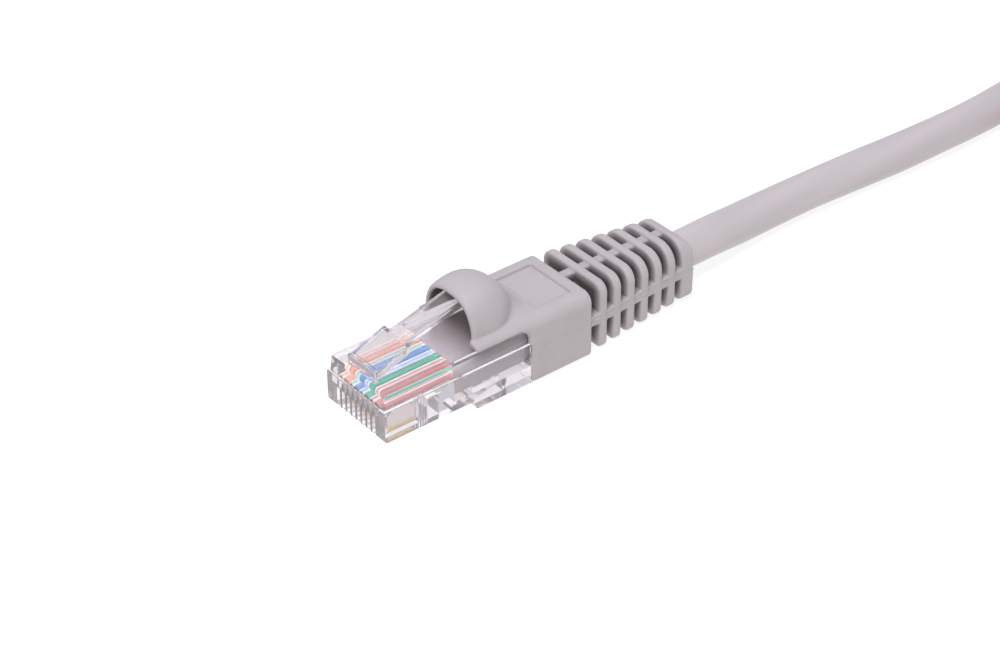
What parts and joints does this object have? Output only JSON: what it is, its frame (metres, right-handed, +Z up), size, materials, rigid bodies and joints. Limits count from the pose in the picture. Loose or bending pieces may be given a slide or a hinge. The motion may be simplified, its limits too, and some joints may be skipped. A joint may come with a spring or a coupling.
{
  "type": "ethernet patch cable",
  "caption": "Ethernet patch cable: clear modular plugs with sprung latches and snagless strain-relief boots on a round grey cord, its spare length coiled and tied.",
  "frame": {"origin": "middle of the near plug and boot in plan, on the surface that the cable lies on", "axes": "+X along the near plug, from its nose towards the cord; +Y across the plug, towards pin 1; +Z up, the side the latch is on"},
  "size_m": [0.1735, 0.0703, 0.0318],
  "materials": {
    "polycarbonate": "clear, glossy",
    "gold_contact": "gold plated, polished",
    "copper": "bare stranded copper",
    "cord_jacket": "soft satin PVC",
    "boot_pvc": "matte PVC with a fine grain",
    "tie": "matte ribbon",
    "wire_white_orange": "satin polyethylene",
    "wire_orange": "satin polyethylene",
    "wire_white_green": "satin polyethylene",
    "wire_blue": "satin polyethylene",
    "wire_white_blue": "satin polyethylene",
    "wire_green": "satin polyethylene",
    "wire_white_brown": "satin polyethylene",
    "wire_brown": "satin polyethylene"
  },
  "bodies": {
    "cable": {"near_housing": "polycarbonate", "near_contact_1": "gold_contact", "near_contact_2": "gold_contact", "near_contact_3": "gold_contact", "near_contact_4": "gold_contact", "near_contact_5": "gold_contact", "near_contact_6": "gold_contact", "near_contact_7": "gold_contact", "near_contact_8": "gold_contact", "near_wire_white_orange": "wire_white_orange", "near_wire_orange": "wire_orange", "near_wire_white_green": "wire_white_green", "near_wire_blue": "wire_blue", "near_wire_white_blue": "wire_white_blue", "near_wire_green": "wire_green", "near_wire_white_brown": "wire_white_brown", "near_wire_brown": "wire_brown", "near_wire_cores": "copper", "near_jacket_end": "cord_jacket", "near_boot": "boot_pvc", "far_housing": "polycarbonate", "far_contact_1": "gold_contact", "far_contact_2": "gold_contact", "far_contact_3": "gold_contact", "far_contact_4": "gold_contact", "far_contact_5": "gold_contact", "far_contact_6": "gold_contact", "far_contact_7": "gold_contact", "far_contact_8": "gold_contact", "far_wire_white_orange": "wire_white_orange", "far_wire_orange": "wire_orange", "far_wire_white_green": "wire_white_green", "far_wire_blue": "wire_blue", "far_wire_white_blue": "wire_white_blue", "far_wire_green": "wire_green", "far_wire_white_brown": "wire_white_brown", "far_wire_brown": "wire_brown", "far_wire_cores": "copper", "far_jacket_end": "cord_jacket", "far_boot": "boot_pvc", "near_cord_run": "cord_jacket", "cord_coil": "cord_jacket", "far_cord_run": "cord_jacket", "coil_tie": "tie"},
    "near_latch": {"near_latch": "polycarbonate"},
    "far_latch": {"far_latch": "polycarbonate"}
  },
  "joints": [
    {"name": "near_latch_hinge", "type": "hinge", "parent": "cable", "child": "near_latch", "pos_m": [-0.0235, 0, 0.0089], "axis": [0, 1, 0], "range_deg": [0, 12], "stiffness_Nm_per_rad": 0.2},
    {"name": "far_latch_hinge", "type": "hinge", "parent": "cable", "child": "far_latch", "pos_m": [0.0729, -0.056, 0.0257], "axis": [0, 1, 0], "range_deg": [0, 12], "stiffness_Nm_per_rad": 0.2}
  ]
}
